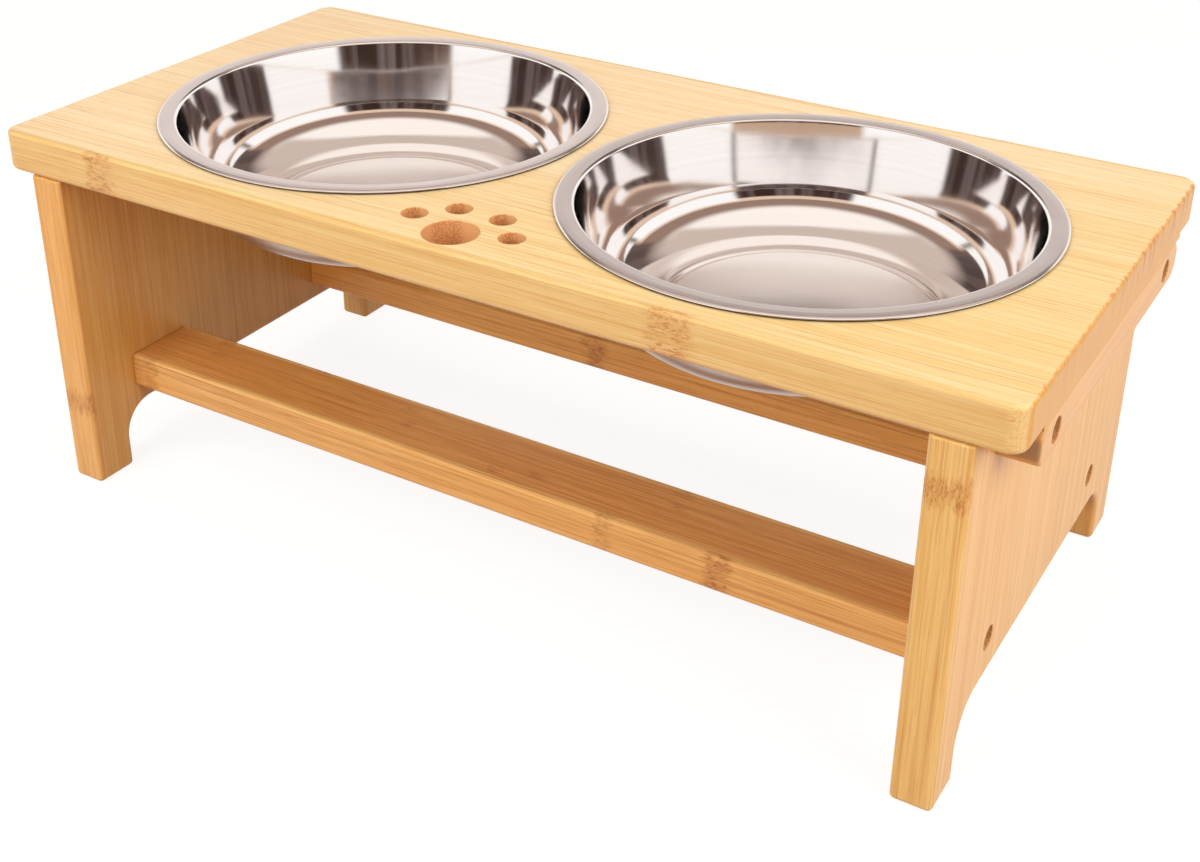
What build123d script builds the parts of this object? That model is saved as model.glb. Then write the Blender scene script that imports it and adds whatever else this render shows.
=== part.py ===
from build123d import *
import os
from math import radians, tan

# Raised feeding stand for a dog: a bamboo bench with two pressed steel bowls that lift out.
# Millimetres. X runs along the board, -Y is the front and Z is up; left is -X. The origin is
# on the floor under the middle of the board.

# Bowls; radii, widths and depth are those of the sheet's upper, inner face
MOUTH_RADIUS = 101.0
MOUTH_ROUNDING = 1.6
FLANGE_WIDTH = 9.0
RIM_HEIGHT = 1.8
RIM_CURL_RADIUS = 1.3
WALL_LEAN = 11.5
BOWL_DEPTH = 53.0
BOWL_CORNER_RADIUS = 27.0
BASE_SETBACK = 6.2
BASE_STEP = 1.2
BASE_STEP_RUN = 2.5
BASE_ROUNDING = 2.0
BOWL_SHEET = 0.6
BOWL_GAP = 8.0

# Top board; the bowls and the margin round them set its length and depth
BOARD_THICKNESS = 20.0
BOARD_TOP = 188.0
RIM_TO_FRONT = 11.0
BOARD_CORNER_RADIUS = 8.0
BOARD_TOP_EASING = 2.0
BOARD_BOTTOM_ROUNDING = 3.0
BOWL_CLEARANCE = 0.9
CUTOUT_EASING = 1.0

# Paw ornament, bored through the board in front of the gap between the bowls
PAW_SETBACK = 16.5
PAD_RADIUS = 12.2
TOE_RADIUS = 5.8
INNER_TOE_SPREAD = 11.2
INNER_TOE_REACH = 22.0
OUTER_TOE_SPREAD = 24.8
OUTER_TOE_REACH = 8.5
PAW_EASING = 0.5

# End panels, each with an arch between its two feet
PANEL_THICKNESS = 18.0
PANEL_EDGE_RADIUS = 2.5
PANEL_TOP_EASING = 0.8
FOOT_DEPTH = 23.5
ARCH_HEIGHT = 33.0
ARCH_CORNER_RADIUS = 17.0

# Cleats, glued under the ends of the board outside the panels
CLEAT_THICKNESS = 16.5
CLEAT_HEIGHT = 18.0
CLEAT_SETBACK = 23.5
CLEAT_CORNER_RADIUS = 8.0
CLEAT_EDGE_RADIUS = 1.5

# Stretchers between the panels
STRETCHER_WIDTH = 39.5
STRETCHER_THICKNESS = 18.0
STRETCHER_SETBACK = 31.0
STRETCHER_ABOVE_ARCH = 10.5
STRETCHER_EDGE_RADIUS = 2.0

# Bolts with a hexagon socket, their heads at the bottom of counterbores
SHANK_RADIUS = 3.0
HEAD_RADIUS = 5.0
HEAD_HEIGHT = 6.0
HEAD_CHAMFER = 0.5
SOCKET_WIDTH = 5.0
SOCKET_DEPTH = 3.0
TIP_CHAMFER = 0.6
CLEAT_BOLT_LENGTH = 16.0
CLEAT_BOLT_INSET = 19.0
STRETCHER_BOLT_LENGTH = 20.0
CLEAT_SEAT = 4.5
PANEL_SEAT = 6.0
HEAD_CLEARANCE = 0.4
SHANK_CLEARANCE = 0.3
MOUTH_EASING = 0.4

# Threaded inserts that take the bolts
INSERT_RADIUS = 4.7
INSERT_LENGTH = 12.0
INSERT_CHAMFER = 0.5
THREAD_CLEARANCE = 0.05
POCKET_CLEARANCE = 0.05
POCKET_SPARE = 2.0

# Wooden dowels
CLEAT_DOWEL_RADIUS = 4.0
CLEAT_DOWEL_LENGTH = 24.0
CLEAT_DOWEL_SPACING = 45.0
CLEAT_DOWELS = 3
STRETCHER_DOWEL_RADIUS = 3.0
STRETCHER_DOWEL_LENGTH = 20.0
STRETCHER_DOWEL_SPACING = 26.0
DOWEL_CHAMFER = 0.8
DOWEL_CLEARANCE = 0.05
DOWEL_END_GAP = 0.5

# Two lengths this close are the same when an edge is looked up
SAME = 0.01

# Places along X: the panels stand where the cut-outs end, the cleats outside them
rim_radius = MOUTH_RADIUS + FLANGE_WIDTH
cutout_radius = MOUTH_RADIUS + BOWL_SHEET + BOWL_CLEARANCE
bowl_x = rim_radius + BOWL_GAP / 2
panel_inner_x = bowl_x + cutout_radius
panel_outer_x = panel_inner_x + PANEL_THICKNESS
end_x = panel_outer_x + CLEAT_THICKNESS
cleat_middle_x = end_x - CLEAT_THICKNESS / 2

# Places along Y, from the board's front or rear edge
edge_y = rim_radius + RIM_TO_FRONT
arch_y = edge_y - FOOT_DEPTH
cleat_end_y = edge_y - CLEAT_SETBACK
cleat_bolt_y = cleat_end_y - CLEAT_BOLT_INSET
stretcher_y = edge_y - STRETCHER_SETBACK - STRETCHER_WIDTH / 2

# Heights
board_underside = BOARD_TOP - BOARD_THICKNESS
cleat_z = board_underside - CLEAT_HEIGHT / 2
stretcher_z = ARCH_HEIGHT + STRETCHER_ABOVE_ARCH + STRETCHER_THICKNESS / 2

SIDES = {"left": -1, "right": 1}
STRETCHER_YS = {"front": -stretcher_y, "rear": stretcher_y}
CLEAT_BOLT_YS = (-cleat_bolt_y, cleat_bolt_y)
CLEAT_DOWEL_YS = [CLEAT_DOWEL_SPACING * (i - (CLEAT_DOWELS - 1) / 2) for i in range(CLEAT_DOWELS)]
STRETCHER_DOWEL_YS = [
    y + offset
    for y in STRETCHER_YS.values()
    for offset in (-STRETCHER_DOWEL_SPACING / 2, STRETCHER_DOWEL_SPACING / 2)
]

# Holes: a bolt's head sinks to its seat, and each pocket takes the bolt's reach and its insert
bolt_hole_radius = SHANK_RADIUS + SHANK_CLEARANCE
head_hole_radius = HEAD_RADIUS + HEAD_CLEARANCE
pocket_radius = INSERT_RADIUS + POCKET_CLEARANCE
cleat_dowel_hole_radius = CLEAT_DOWEL_RADIUS + DOWEL_CLEARANCE
stretcher_dowel_hole_radius = STRETCHER_DOWEL_RADIUS + DOWEL_CLEARANCE
panel_pocket_depth = max(CLEAT_BOLT_LENGTH - CLEAT_SEAT, INSERT_LENGTH) + POCKET_SPARE
stretcher_pocket_depth = max(STRETCHER_BOLT_LENGTH - PANEL_SEAT, INSERT_LENGTH) + POCKET_SPARE
cleat_dowel_hole = CLEAT_DOWEL_LENGTH / 2 + DOWEL_END_GAP
stretcher_dowel_hole = STRETCHER_DOWEL_LENGTH / 2 + DOWEL_END_GAP

os.makedirs("parts", exist_ok=True)


def facing_out(side, x):
    """Upright plane at a distance x from the middle, facing the board's end on that side."""
    return Plane(origin=(side * x, 0, 0), x_dir=(0, side, 0), z_dir=(side, 0, 0))


def facing_in(side, x):
    """The same plane, facing the middle."""
    return facing_out(-side, -x)


def spots(plane, ys, z):
    """Points of an upright plane at the given Y places and height."""
    return [(y * plane.x_dir.Y, z) for y in ys]


def outermost(edges, side):
    """The edges that lie furthest out along X on that side."""
    return edges.group_by(Axis.X)[-1 if side > 0 else 0]


def circles(builder, axis, place, radius):
    """Circular edges of one radius at one place along an axis."""
    level = builder.edges().filter_by(GeomType.CIRCLE).filter_by_position(axis, place - SAME, place + SAME)
    return level.filter_by(lambda edge: abs(edge.radius - radius) < SAME)


def keep(builder, name):
    """Labels a finished piece and writes it."""
    builder.part.label = name
    export_step(builder.part, f"parts/{name}.step")


def bolt_pair(side, seat_x, ys, z, length):
    """Socket bolts along X, heads outwards, seated at a distance seat_x from the middle."""
    seat = facing_out(side, seat_x)
    with BuildPart() as pair:
        with BuildSketch(seat):
            with Locations(*spots(seat, ys, z)):
                Circle(HEAD_RADIUS)
        extrude(amount=HEAD_HEIGHT)
        chamfer(outermost(pair.edges(), side), HEAD_CHAMFER)
        with BuildSketch(seat.offset(HEAD_HEIGHT)):
            with Locations(*spots(seat, ys, z)):
                RegularPolygon(SOCKET_WIDTH / 2, 6, major_radius=False)
        extrude(amount=-SOCKET_DEPTH, mode=Mode.SUBTRACT)
        with BuildSketch(seat):
            with Locations(*spots(seat, ys, z)):
                Circle(SHANK_RADIUS)
        extrude(amount=-length)
        chamfer(outermost(pair.edges(), -side), TIP_CHAMFER)
    return pair


def insert_pair(side, mouth_x, ys, z):
    """Threaded sleeves let into the wood from its face at a distance mouth_x from the middle."""
    mouth = facing_out(side, mouth_x)
    with BuildPart() as pair:
        with BuildSketch(mouth):
            with Locations(*spots(mouth, ys, z)):
                Circle(INSERT_RADIUS)
                Circle(SHANK_RADIUS + THREAD_CLEARANCE, mode=Mode.SUBTRACT)
        extrude(amount=-INSERT_LENGTH)
        for x in (mouth_x, mouth_x - INSERT_LENGTH):
            chamfer(circles(pair, Axis.X, side * x, INSERT_RADIUS), INSERT_CHAMFER)
    return pair


def dowel_set(end, points, radius, length):
    """Chamfered pins that start on the plane end and run along its normal."""
    with BuildPart() as pins:
        with BuildSketch(end):
            with Locations(*points):
                Circle(radius)
        extrude(amount=length)
        chamfer(pins.edges().filter_by(GeomType.CIRCLE), DOWEL_CHAMFER)
    return pins


# Top board: eased all round, except where the cleats are glued on flush with its ends
pad_centre = (0, PAW_SETBACK - edge_y)
toe_centres = [
    (side * spread, pad_centre[1] + reach)
    for side in SIDES.values()
    for spread, reach in ((INNER_TOE_SPREAD, INNER_TOE_REACH), (OUTER_TOE_SPREAD, OUTER_TOE_REACH))
]
with BuildPart() as top_board:
    with BuildSketch(Plane.XY.offset(board_underside)):
        RectangleRounded(2 * end_x, 2 * edge_y, BOARD_CORNER_RADIUS)
    extrude(amount=BOARD_THICKNESS)
    fillet(top_board.faces().sort_by(Axis.Z)[-1].edges(), BOARD_TOP_EASING)
    fillet(top_board.faces().sort_by(Axis.Z)[0].edges(), BOARD_BOTTOM_ROUNDING)
    with BuildSketch(Plane.XY.offset(board_underside)):
        for side in SIDES.values():
            with Locations((side * cleat_middle_x, 0)):
                Rectangle(CLEAT_THICKNESS, 2 * cleat_end_y)
    extrude(amount=BOARD_BOTTOM_ROUNDING)
    with BuildSketch(Plane.XY.offset(board_underside)):
        with Locations((-bowl_x, 0), (bowl_x, 0)):
            Circle(cutout_radius)
        with Locations(pad_centre):
            Circle(PAD_RADIUS)
        with Locations(*toe_centres):
            Circle(TOE_RADIUS)
    extrude(amount=BOARD_THICKNESS, mode=Mode.SUBTRACT)
    for z in (board_underside, BOARD_TOP):
        chamfer(circles(top_board, Axis.Z, z, cutout_radius), CUTOUT_EASING)
        fillet(circles(top_board, Axis.Z, z, PAD_RADIUS), PAW_EASING)
        fillet(circles(top_board, Axis.Z, z, TOE_RADIUS), PAW_EASING)
    for side in SIDES.values():
        with Locations(Plane(origin=(side * cleat_middle_x, 0, board_underside), z_dir=(0, 0, -1))):
            with Locations(*[(0, y) for y in CLEAT_DOWEL_YS]):
                Hole(cleat_dowel_hole_radius, cleat_dowel_hole)
keep(top_board, "top_board")

# Cleats: lower corners rounded, the long lower edge eased, two sunk bolt holes
for name, side in SIDES.items():
    outer_face = facing_out(side, end_x)
    with BuildPart() as cleat:
        with BuildSketch(facing_out(side, panel_outer_x)) as outline:
            with Locations((0, cleat_z)):
                Rectangle(2 * cleat_end_y, CLEAT_HEIGHT)
            fillet(outline.vertices().group_by(Axis.Z)[0], CLEAT_CORNER_RADIUS)
        extrude(amount=CLEAT_THICKNESS)
        fillet(outermost(cleat.edges(), side).sort_by(Axis.Z)[:-1], CLEAT_EDGE_RADIUS)
        with Locations(outer_face):
            with Locations(*spots(outer_face, CLEAT_BOLT_YS, cleat_z)):
                CounterBoreHole(bolt_hole_radius, head_hole_radius, CLEAT_THICKNESS - CLEAT_SEAT)
        chamfer(circles(cleat, Axis.X, side * end_x, head_hole_radius), MOUTH_EASING)
        with Locations(Plane.XY.offset(board_underside)):
            with Locations(*[(side * cleat_middle_x, y) for y in CLEAT_DOWEL_YS]):
                Hole(cleat_dowel_hole_radius, cleat_dowel_hole)
    keep(cleat, f"{name}_cleat")

# End panels: a slab on two feet, eased all round, with its own bolt and dowel holes
for name, side in SIDES.items():
    outer_face = facing_out(side, panel_outer_x)
    inner_face = facing_in(side, panel_inner_x)
    with BuildPart() as panel:
        with BuildSketch(facing_out(side, panel_inner_x)):
            with Locations((0, board_underside / 2)):
                Rectangle(2 * edge_y, board_underside)
            with BuildLine():
                FilletPolyline(
                    (-arch_y, 0),
                    (-arch_y, ARCH_HEIGHT),
                    (arch_y, ARCH_HEIGHT),
                    (arch_y, 0),
                    radius=ARCH_CORNER_RADIUS,
                )
                Line((arch_y, 0), (-arch_y, 0))
            make_face(mode=Mode.SUBTRACT)
        extrude(amount=PANEL_THICKNESS)
        fillet(panel.edges() - panel.faces().sort_by(Axis.Z)[-1].edges(), PANEL_EDGE_RADIUS)
        fillet(panel.faces().sort_by(Axis.Z)[-1].edges(), PANEL_TOP_EASING)
        with Locations(outer_face):
            with Locations(*spots(outer_face, STRETCHER_YS.values(), stretcher_z)):
                CounterBoreHole(bolt_hole_radius, head_hole_radius, PANEL_THICKNESS - PANEL_SEAT)
            with Locations(*spots(outer_face, CLEAT_BOLT_YS, cleat_z)):
                Hole(pocket_radius, panel_pocket_depth)
        chamfer(circles(panel, Axis.X, side * panel_outer_x, head_hole_radius), MOUTH_EASING)
        with Locations(inner_face):
            with Locations(*spots(inner_face, STRETCHER_DOWEL_YS, stretcher_z)):
                Hole(stretcher_dowel_hole_radius, stretcher_dowel_hole)
    keep(panel, f"{name}_panel")

# Stretchers: long edges eased, an insert pocket between two dowel holes in each end
for name, y in STRETCHER_YS.items():
    dowel_ys = (y - STRETCHER_DOWEL_SPACING / 2, y + STRETCHER_DOWEL_SPACING / 2)
    with BuildPart() as stretcher:
        with BuildSketch(facing_out(1, -panel_inner_x)):
            with Locations((y, stretcher_z)):
                Rectangle(STRETCHER_WIDTH, STRETCHER_THICKNESS)
        extrude(amount=2 * panel_inner_x)
        fillet(stretcher.edges().filter_by(Axis.X), STRETCHER_EDGE_RADIUS)
        for side in SIDES.values():
            end_face = facing_out(side, panel_inner_x)
            with Locations(end_face):
                with Locations(*spots(end_face, [y], stretcher_z)):
                    Hole(pocket_radius, stretcher_pocket_depth)
                with Locations(*spots(end_face, dowel_ys, stretcher_z)):
                    Hole(stretcher_dowel_hole_radius, stretcher_dowel_hole)
    keep(stretcher, f"{name}_stretcher")

# Bowls: one sheet from the raised middle of the base, over the corner and up the leaning wall,
# to a flat rim whose curled edge rests on the board
floor_z = RIM_HEIGHT - BOWL_DEPTH
corner_radius = MOUTH_RADIUS - BOWL_DEPTH * tan(radians(WALL_LEAN))
flat_radius = corner_radius - BOWL_CORNER_RADIUS * tan(radians(90 - WALL_LEAN) / 2)
base_radius = flat_radius - BASE_SETBACK
for name, side in SIDES.items():
    with BuildPart() as bowl:
        with BuildSketch(Plane(origin=(side * bowl_x, 0, BOARD_TOP), x_dir=(1, 0, 0), z_dir=(0, -1, 0))):
            with BuildLine():
                FilletPolyline(
                    (0, floor_z + BASE_STEP),
                    (base_radius - BASE_STEP_RUN, floor_z + BASE_STEP),
                    (base_radius, floor_z),
                    (corner_radius, floor_z),
                    (MOUTH_RADIUS, RIM_HEIGHT),
                    (rim_radius, RIM_HEIGHT),
                    (rim_radius, 0),
                    radius=(
                        BASE_ROUNDING,
                        BASE_ROUNDING,
                        BOWL_CORNER_RADIUS,
                        MOUTH_ROUNDING,
                        RIM_CURL_RADIUS,
                    ),
                )
                offset(amount=BOWL_SHEET, side=Side.RIGHT)
            make_face()
        revolve(axis=Axis((side * bowl_x, 0, 0), (0, 0, 1)))
    keep(bowl, f"{name}_bowl")

# Bolts, inserts and dowels
for name, side in SIDES.items():
    keep(
        bolt_pair(side, panel_outer_x + CLEAT_SEAT, CLEAT_BOLT_YS, cleat_z, CLEAT_BOLT_LENGTH),
        f"{name}_cleat_bolts",
    )
    keep(insert_pair(side, panel_outer_x, CLEAT_BOLT_YS, cleat_z), f"{name}_panel_inserts")
    keep(
        bolt_pair(
            side,
            panel_inner_x + PANEL_SEAT,
            STRETCHER_YS.values(),
            stretcher_z,
            STRETCHER_BOLT_LENGTH,
        ),
        f"{name}_stretcher_bolts",
    )
    keep(insert_pair(side, panel_inner_x, STRETCHER_YS.values(), stretcher_z), f"{name}_stretcher_inserts")
    keep(
        dowel_set(
            Plane.XY.offset(board_underside - CLEAT_DOWEL_LENGTH / 2),
            [(side * cleat_middle_x, y) for y in CLEAT_DOWEL_YS],
            CLEAT_DOWEL_RADIUS,
            CLEAT_DOWEL_LENGTH,
        ),
        f"{name}_cleat_dowels",
    )
    dowel_end = facing_in(side, panel_inner_x + STRETCHER_DOWEL_LENGTH / 2)
    keep(
        dowel_set(
            dowel_end,
            spots(dowel_end, STRETCHER_DOWEL_YS, stretcher_z),
            STRETCHER_DOWEL_RADIUS,
            STRETCHER_DOWEL_LENGTH,
        ),
        f"{name}_stretcher_dowels",
    )
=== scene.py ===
"""Looks of a raised feeding stand for a dog: a bamboo bench that holds two pressed steel bowls.

The wooden pieces and the hardware are the frame's own nodes, which get their finishes here. The two
bowls are modelled again as spun sheet with a hemmed rim. Sizes in the classes are millimetres, colours
are given as they look on a screen, 0 to 255.
"""

import logging
from dataclasses import dataclass
from enum import Enum
from math import atan2, ceil, cos, degrees, pi, radians, sin, tan
from typing import Callable, Iterable, Union

import bpy
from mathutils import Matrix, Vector


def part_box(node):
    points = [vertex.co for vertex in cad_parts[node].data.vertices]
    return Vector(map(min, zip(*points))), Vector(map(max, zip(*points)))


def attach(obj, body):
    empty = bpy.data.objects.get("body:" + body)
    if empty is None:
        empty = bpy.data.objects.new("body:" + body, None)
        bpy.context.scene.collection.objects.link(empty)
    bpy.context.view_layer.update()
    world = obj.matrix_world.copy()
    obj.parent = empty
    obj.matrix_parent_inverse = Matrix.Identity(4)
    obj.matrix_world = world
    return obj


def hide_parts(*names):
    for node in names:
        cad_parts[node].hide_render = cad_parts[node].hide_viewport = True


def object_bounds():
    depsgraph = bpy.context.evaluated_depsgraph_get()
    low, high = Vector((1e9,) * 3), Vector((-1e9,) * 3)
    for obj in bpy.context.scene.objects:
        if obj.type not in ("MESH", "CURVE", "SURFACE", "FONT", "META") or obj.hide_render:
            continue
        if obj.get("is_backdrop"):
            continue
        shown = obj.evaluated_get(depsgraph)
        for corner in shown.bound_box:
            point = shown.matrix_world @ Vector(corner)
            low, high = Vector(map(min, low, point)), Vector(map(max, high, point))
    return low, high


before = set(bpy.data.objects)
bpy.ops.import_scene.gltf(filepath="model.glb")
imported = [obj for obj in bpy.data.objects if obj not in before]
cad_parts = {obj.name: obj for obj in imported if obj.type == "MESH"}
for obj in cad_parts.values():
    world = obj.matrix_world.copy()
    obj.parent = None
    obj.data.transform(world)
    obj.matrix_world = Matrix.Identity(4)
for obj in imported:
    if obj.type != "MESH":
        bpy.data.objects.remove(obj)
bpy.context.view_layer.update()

MM = 0.001
MIX_INPUTS = (0, 6, 7)  # the factor and the two colours
MIX_RESULT = 2
Material = bpy.types.Material
Socket = bpy.types.NodeSocket
Number = Union["Level", float]
Colour = tuple[int, int, int]
Tint = Union[Socket, Colour]
Point = tuple[float, float]
Pair = tuple["Level", "Level"]
Triple = tuple[float, float, float]

log = logging.getLogger("feeding_stand")


class Grain(Enum):
    """How a piece's fibres lie: its axes along the grain, across the strips and through them."""

    ALONG_BOARD = "XYZ"
    UPRIGHT = "ZYX"
    ACROSS_BOARD = "YXZ"


class Side(Enum):
    """The two ends of the stand, with the sign of their X."""

    LEFT = -1
    RIGHT = 1

    @property
    def label(self) -> str:
        """The word that this end's nodes start with."""
        return self.name.lower()


def linear(colour: Colour) -> tuple[float, float, float, float]:
    """Turns a screen colour into the linear one that shaders take.

    Args:
        colour: Red, green and blue from 0 to 255.

    Returns:
        The linear colour from 0 to 1, with a full alpha.
    """
    shares = [value / 255 for value in colour]
    decoded = [s / 12.92 if s <= 0.04045 else ((s + 0.055) / 1.055) ** 2.4 for s in shares]
    return (*decoded, 1.0)


@dataclass(frozen=True)
class Pattern:
    """Smooth noise, and the part of it that shows as marks.

    Attributes:
        per_mm: Features per millimetre along each axis, in wood the grain first.
        detail: Number of finer layers.
        roughness: Strength of the finer layers.
        distortion: How far the noise is bent by itself.
        start: Level of the noise from which a mark shows.
        full: Level from which it shows in full.
    """

    per_mm: Triple
    detail: float = 2.0
    roughness: float = 0.5
    distortion: float = 0.0
    start: float = 0.0
    full: float = 1.0


def operation(name: str) -> Callable[..., "Level"]:
    """Makes a method that applies a Math operation to a level and whatever else it is given.

    Args:
        name: Blender's name of the operation.

    Returns:
        The method.
    """

    def apply(level: "Level", *others: Number) -> "Level":
        """Adds the Math node."""
        return level.graph.math(name, level, *others)

    return apply


class Level:
    """A number that a shader works out for each point, open to plain arithmetic."""

    def __init__(self, graph: "Graph", socket: Socket) -> None:
        """Keeps the output that gives the number."""
        self.graph = graph
        self.socket = socket

    __add__ = __radd__ = operation("ADD")
    __mul__ = __rmul__ = operation("MULTIPLY")
    __truediv__ = operation("DIVIDE")
    __sub__ = operation("SUBTRACT")
    __abs__ = operation("ABSOLUTE")
    floor = operation("FLOOR")
    fraction = operation("FRACT")
    most = operation("MAXIMUM")

    def __rsub__(self, other: Number) -> "Level":
        """Takes this number off another one."""
        return self.graph.math("SUBTRACT", other, self)

    def chance(self, seed: float) -> "Level":
        """Gives each whole number its own random value from 0 to 1."""
        return self.graph.number("ShaderNodeTexWhiteNoise", {"W": self + seed}, noise_dimensions="1D")

    def rise(self, start: float, end: float, low: float = 0.0, high: float = 1.0) -> "Level":
        """Goes smoothly from low, which holds up to the start, to high, which holds from the end on."""
        feeds = dict(enumerate((self, start, end, low, high)))
        return self.graph.number("ShaderNodeMapRange", feeds, interpolation_type="SMOOTHSTEP")

    def fall(self, start: float, end: float) -> "Level":
        """Goes smoothly from 1, which holds up to the start, to 0, which holds from the end on."""
        return self.rise(start, end, 1.0, 0.0)

    def band(self, start: float, end: float, soft: float) -> "Level":
        """Is 1 between two limits and 0 outside, each limit being soft by so much either way."""
        return self.rise(start - soft, start + soft) * self.fall(end - soft, end + soft)


class Graph:
    """A node tree under construction, with short ways to add and join its nodes."""

    def __init__(self, tree: bpy.types.NodeTree) -> None:
        """Empties the tree and keeps it."""
        tree.nodes.clear()
        self.tree = tree

    def node(self, kind: str, feeds: dict | None = None, **options: object) -> bpy.types.Node:
        """Adds a node.

        Args:
            kind: Blender's name of the node type.
            feeds: What its inputs get, by their names or numbers.
            **options: Properties to set on it.

        Returns:
            The node.
        """
        made = self.tree.nodes.new(kind)
        for option, value in options.items():
            setattr(made, option, value)
        for key, signal in (feeds or {}).items():
            self._feed(made.inputs[key], signal)
        return made

    def _feed(self, socket: Socket, signal: object) -> None:
        """Links an output to an input, or sets the input to a plain value.

        Args:
            socket: The input.
            signal: A level, another output or a value.
        """
        source = signal.socket if isinstance(signal, Level) else signal
        if isinstance(source, Socket):
            self.tree.links.new(source, socket)
        else:
            socket.default_value = linear(source) if socket.type == "RGBA" else source

    def number(self, kind: str, feeds: dict, **options: object) -> Level:
        """Adds a node that gives a number."""
        return Level(self, self.node(kind, feeds, **options).outputs[0])

    def math(self, operation: str, *terms: Number) -> Level:
        """Adds a Math node for one of Blender's operations."""
        return self.number("ShaderNodeMath", dict(enumerate(terms)), operation=operation)

    def length(self, first: Level, second: Level) -> Level:
        """Gives the length of a vector with these two parts."""
        return self.math("SQRT", first * first + second * second)

    def vector(self, operation: str, vector: Socket, other: Triple) -> Socket:
        """Adds a Vector Math node for one of Blender's operations."""
        return self.node("ShaderNodeVectorMath", {0: vector, 1: other}, operation=operation).outputs[0]

    def noise(self, vector: Socket, pattern: Pattern) -> Level:
        """Adds smooth noise, about 0.5 on average.

        Args:
            vector: The place, in millimetres.
            pattern: How the noise looks.

        Returns:
            The noise.
        """
        feeds = {
            "Vector": self.vector("MULTIPLY", vector, pattern.per_mm),
            "Scale": 1.0,
            "Detail": pattern.detail,
            "Roughness": pattern.roughness,
            "Distortion": pattern.distortion,
        }
        return self.number("ShaderNodeTexNoise", feeds)

    def marks(self, vector: Socket, pattern: Pattern, low: float = 0.0, high: float = 1.0) -> Level:
        """Adds noise of which only the peaks show, as a level between low and high."""
        return self.noise(vector, pattern).rise(pattern.start, pattern.full, low, high)

    def lines(self, at: Level, scale: float, detail: float, roughness: float = 0.5) -> Level:
        """Adds noise that changes with one number only, about 0.5 on average."""
        feeds = {"W": at, "Scale": scale, "Detail": detail, "Roughness": roughness}
        return self.number("ShaderNodeTexNoise", feeds, noise_dimensions="1D")

    def blend(self, factor: Number, under: Tint, over: Tint, mode: str = "MIX") -> Socket:
        """Lays a second colour over a first by a factor, in one of Blender's modes."""
        feeds = dict(zip(MIX_INPUTS, (factor, under, over)))
        return self.node("ShaderNodeMix", feeds, data_type="RGBA", blend_type=mode).outputs[MIX_RESULT]

    def layered(self, colour: Tint, *layers: tuple[Number, Tint]) -> Tint:
        """Lays colours over a first one.

        Args:
            colour: The first colour.
            *layers: How much of each further colour shows, and the colour.

        Returns:
            What is seen of them all.
        """
        for factor, over in layers:
            colour = self.blend(factor, colour, over)
        return colour

    def shaded(self, colour: Tint, level: Level) -> Socket:
        """Multiplies a colour by a level."""
        grey = self.node("ShaderNodeCombineColor", dict.fromkeys(range(3), level)).outputs[0]
        return self.blend(1.0, colour, grey, mode="MULTIPLY")

    def place(self, letters: str = "XYZ") -> tuple[Socket, list[Level]]:
        """Reads where a point lies on the piece.

        Args:
            letters: The axes, in the order that they are wanted in.

        Returns:
            The place in millimetres as a vector, and its three parts.
        """
        source = self.node("ShaderNodeTexCoord").outputs["Object"]
        split = self.node("ShaderNodeSeparateXYZ", {0: self.vector("MULTIPLY", source, (1 / MM,) * 3)})
        parts = [Level(self, split.outputs[letter]) for letter in letters]
        return self.node("ShaderNodeCombineXYZ", dict(enumerate(parts))).outputs[0], parts

    def rays(self) -> Pair:
        """Tells the rays that are seen from the light's own.

        Returns:
            Whether a ray is the camera's, and whether a surface mirrors it or lets it through.
        """
        outputs = self.node("ShaderNodeLightPath").outputs
        kinds = ("Camera", "Glossy", "Transmission")
        camera, glossy, through = (Level(self, outputs[f"Is {kind} Ray"]) for kind in kinds)
        return camera, through.most(glossy)

    def bump(self, height: Level, depth: float, strength: float, under: Socket | None = None) -> Socket:
        """Turns a height into a surface normal.

        Args:
            height: The height, from 0 to 1.
            depth: What a height of 1 stands for, in millimetres.
            strength: How much of it shows.
            under: A normal that it lies on.

        Returns:
            The normal.
        """
        feeds = {"Strength": strength, "Distance": depth * MM, "Height": height}
        if under is not None:
            feeds["Normal"] = under
        return self.node("ShaderNodeBump", feeds).outputs[0]

    def finish(self, colour: Tint, roughness: Level, normal: Socket, **constants: float) -> None:
        """Ends a material with its Principled shader.

        Args:
            colour: The base colour.
            roughness: The roughness.
            normal: The surface normal.
            **constants: Values for the shader's other inputs, with _ for each space.
        """
        feeds = {"Base Color": colour, "Roughness": roughness, "Normal": normal}
        feeds.update((name.replace("_", " "), value) for name, value in constants.items())
        self.show("ShaderNodeOutputMaterial", self.node("ShaderNodeBsdfPrincipled", feeds))

    def show(self, output: str, shader: bpy.types.Node) -> None:
        """Makes a shader what the material or world shows."""
        self.node(output, {"Surface": shader.outputs[0]})


@dataclass(frozen=True)
class Finish:
    """A material that is made in the shader alone.

    Attributes:
        name: The material's name.
    """

    name: str

    def build(self) -> Material:
        """Makes the material.

        Returns:
            The material.
        """
        material = bpy.data.materials.new(self.name)
        material.use_nodes = True
        self.paint(Graph(material.node_tree))
        return material

    def paint(self, graph: Graph) -> None:
        """Fills the material's empty graph, each finish in its own way."""
        raise NotImplementedError


@dataclass(frozen=True)
class Bore:
    """A hole whose wall shows its cut fibres.

    Attributes:
        axis: The axis that the hole runs along.
        centre: Its place along the other two axes, in their order.
        radius: Its radius.
    """

    axis: str
    centre: Point
    radius: float


@dataclass(frozen=True)
class Knuckle:
    """A band of curled fibres where a culm's node lies in a narrow face.

    Attributes:
        along: Its place along the grain.
        across: The narrow face's place across the strips.
        length: How far it reaches along the grain.
    """

    along: float
    across: float
    length: float


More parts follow.
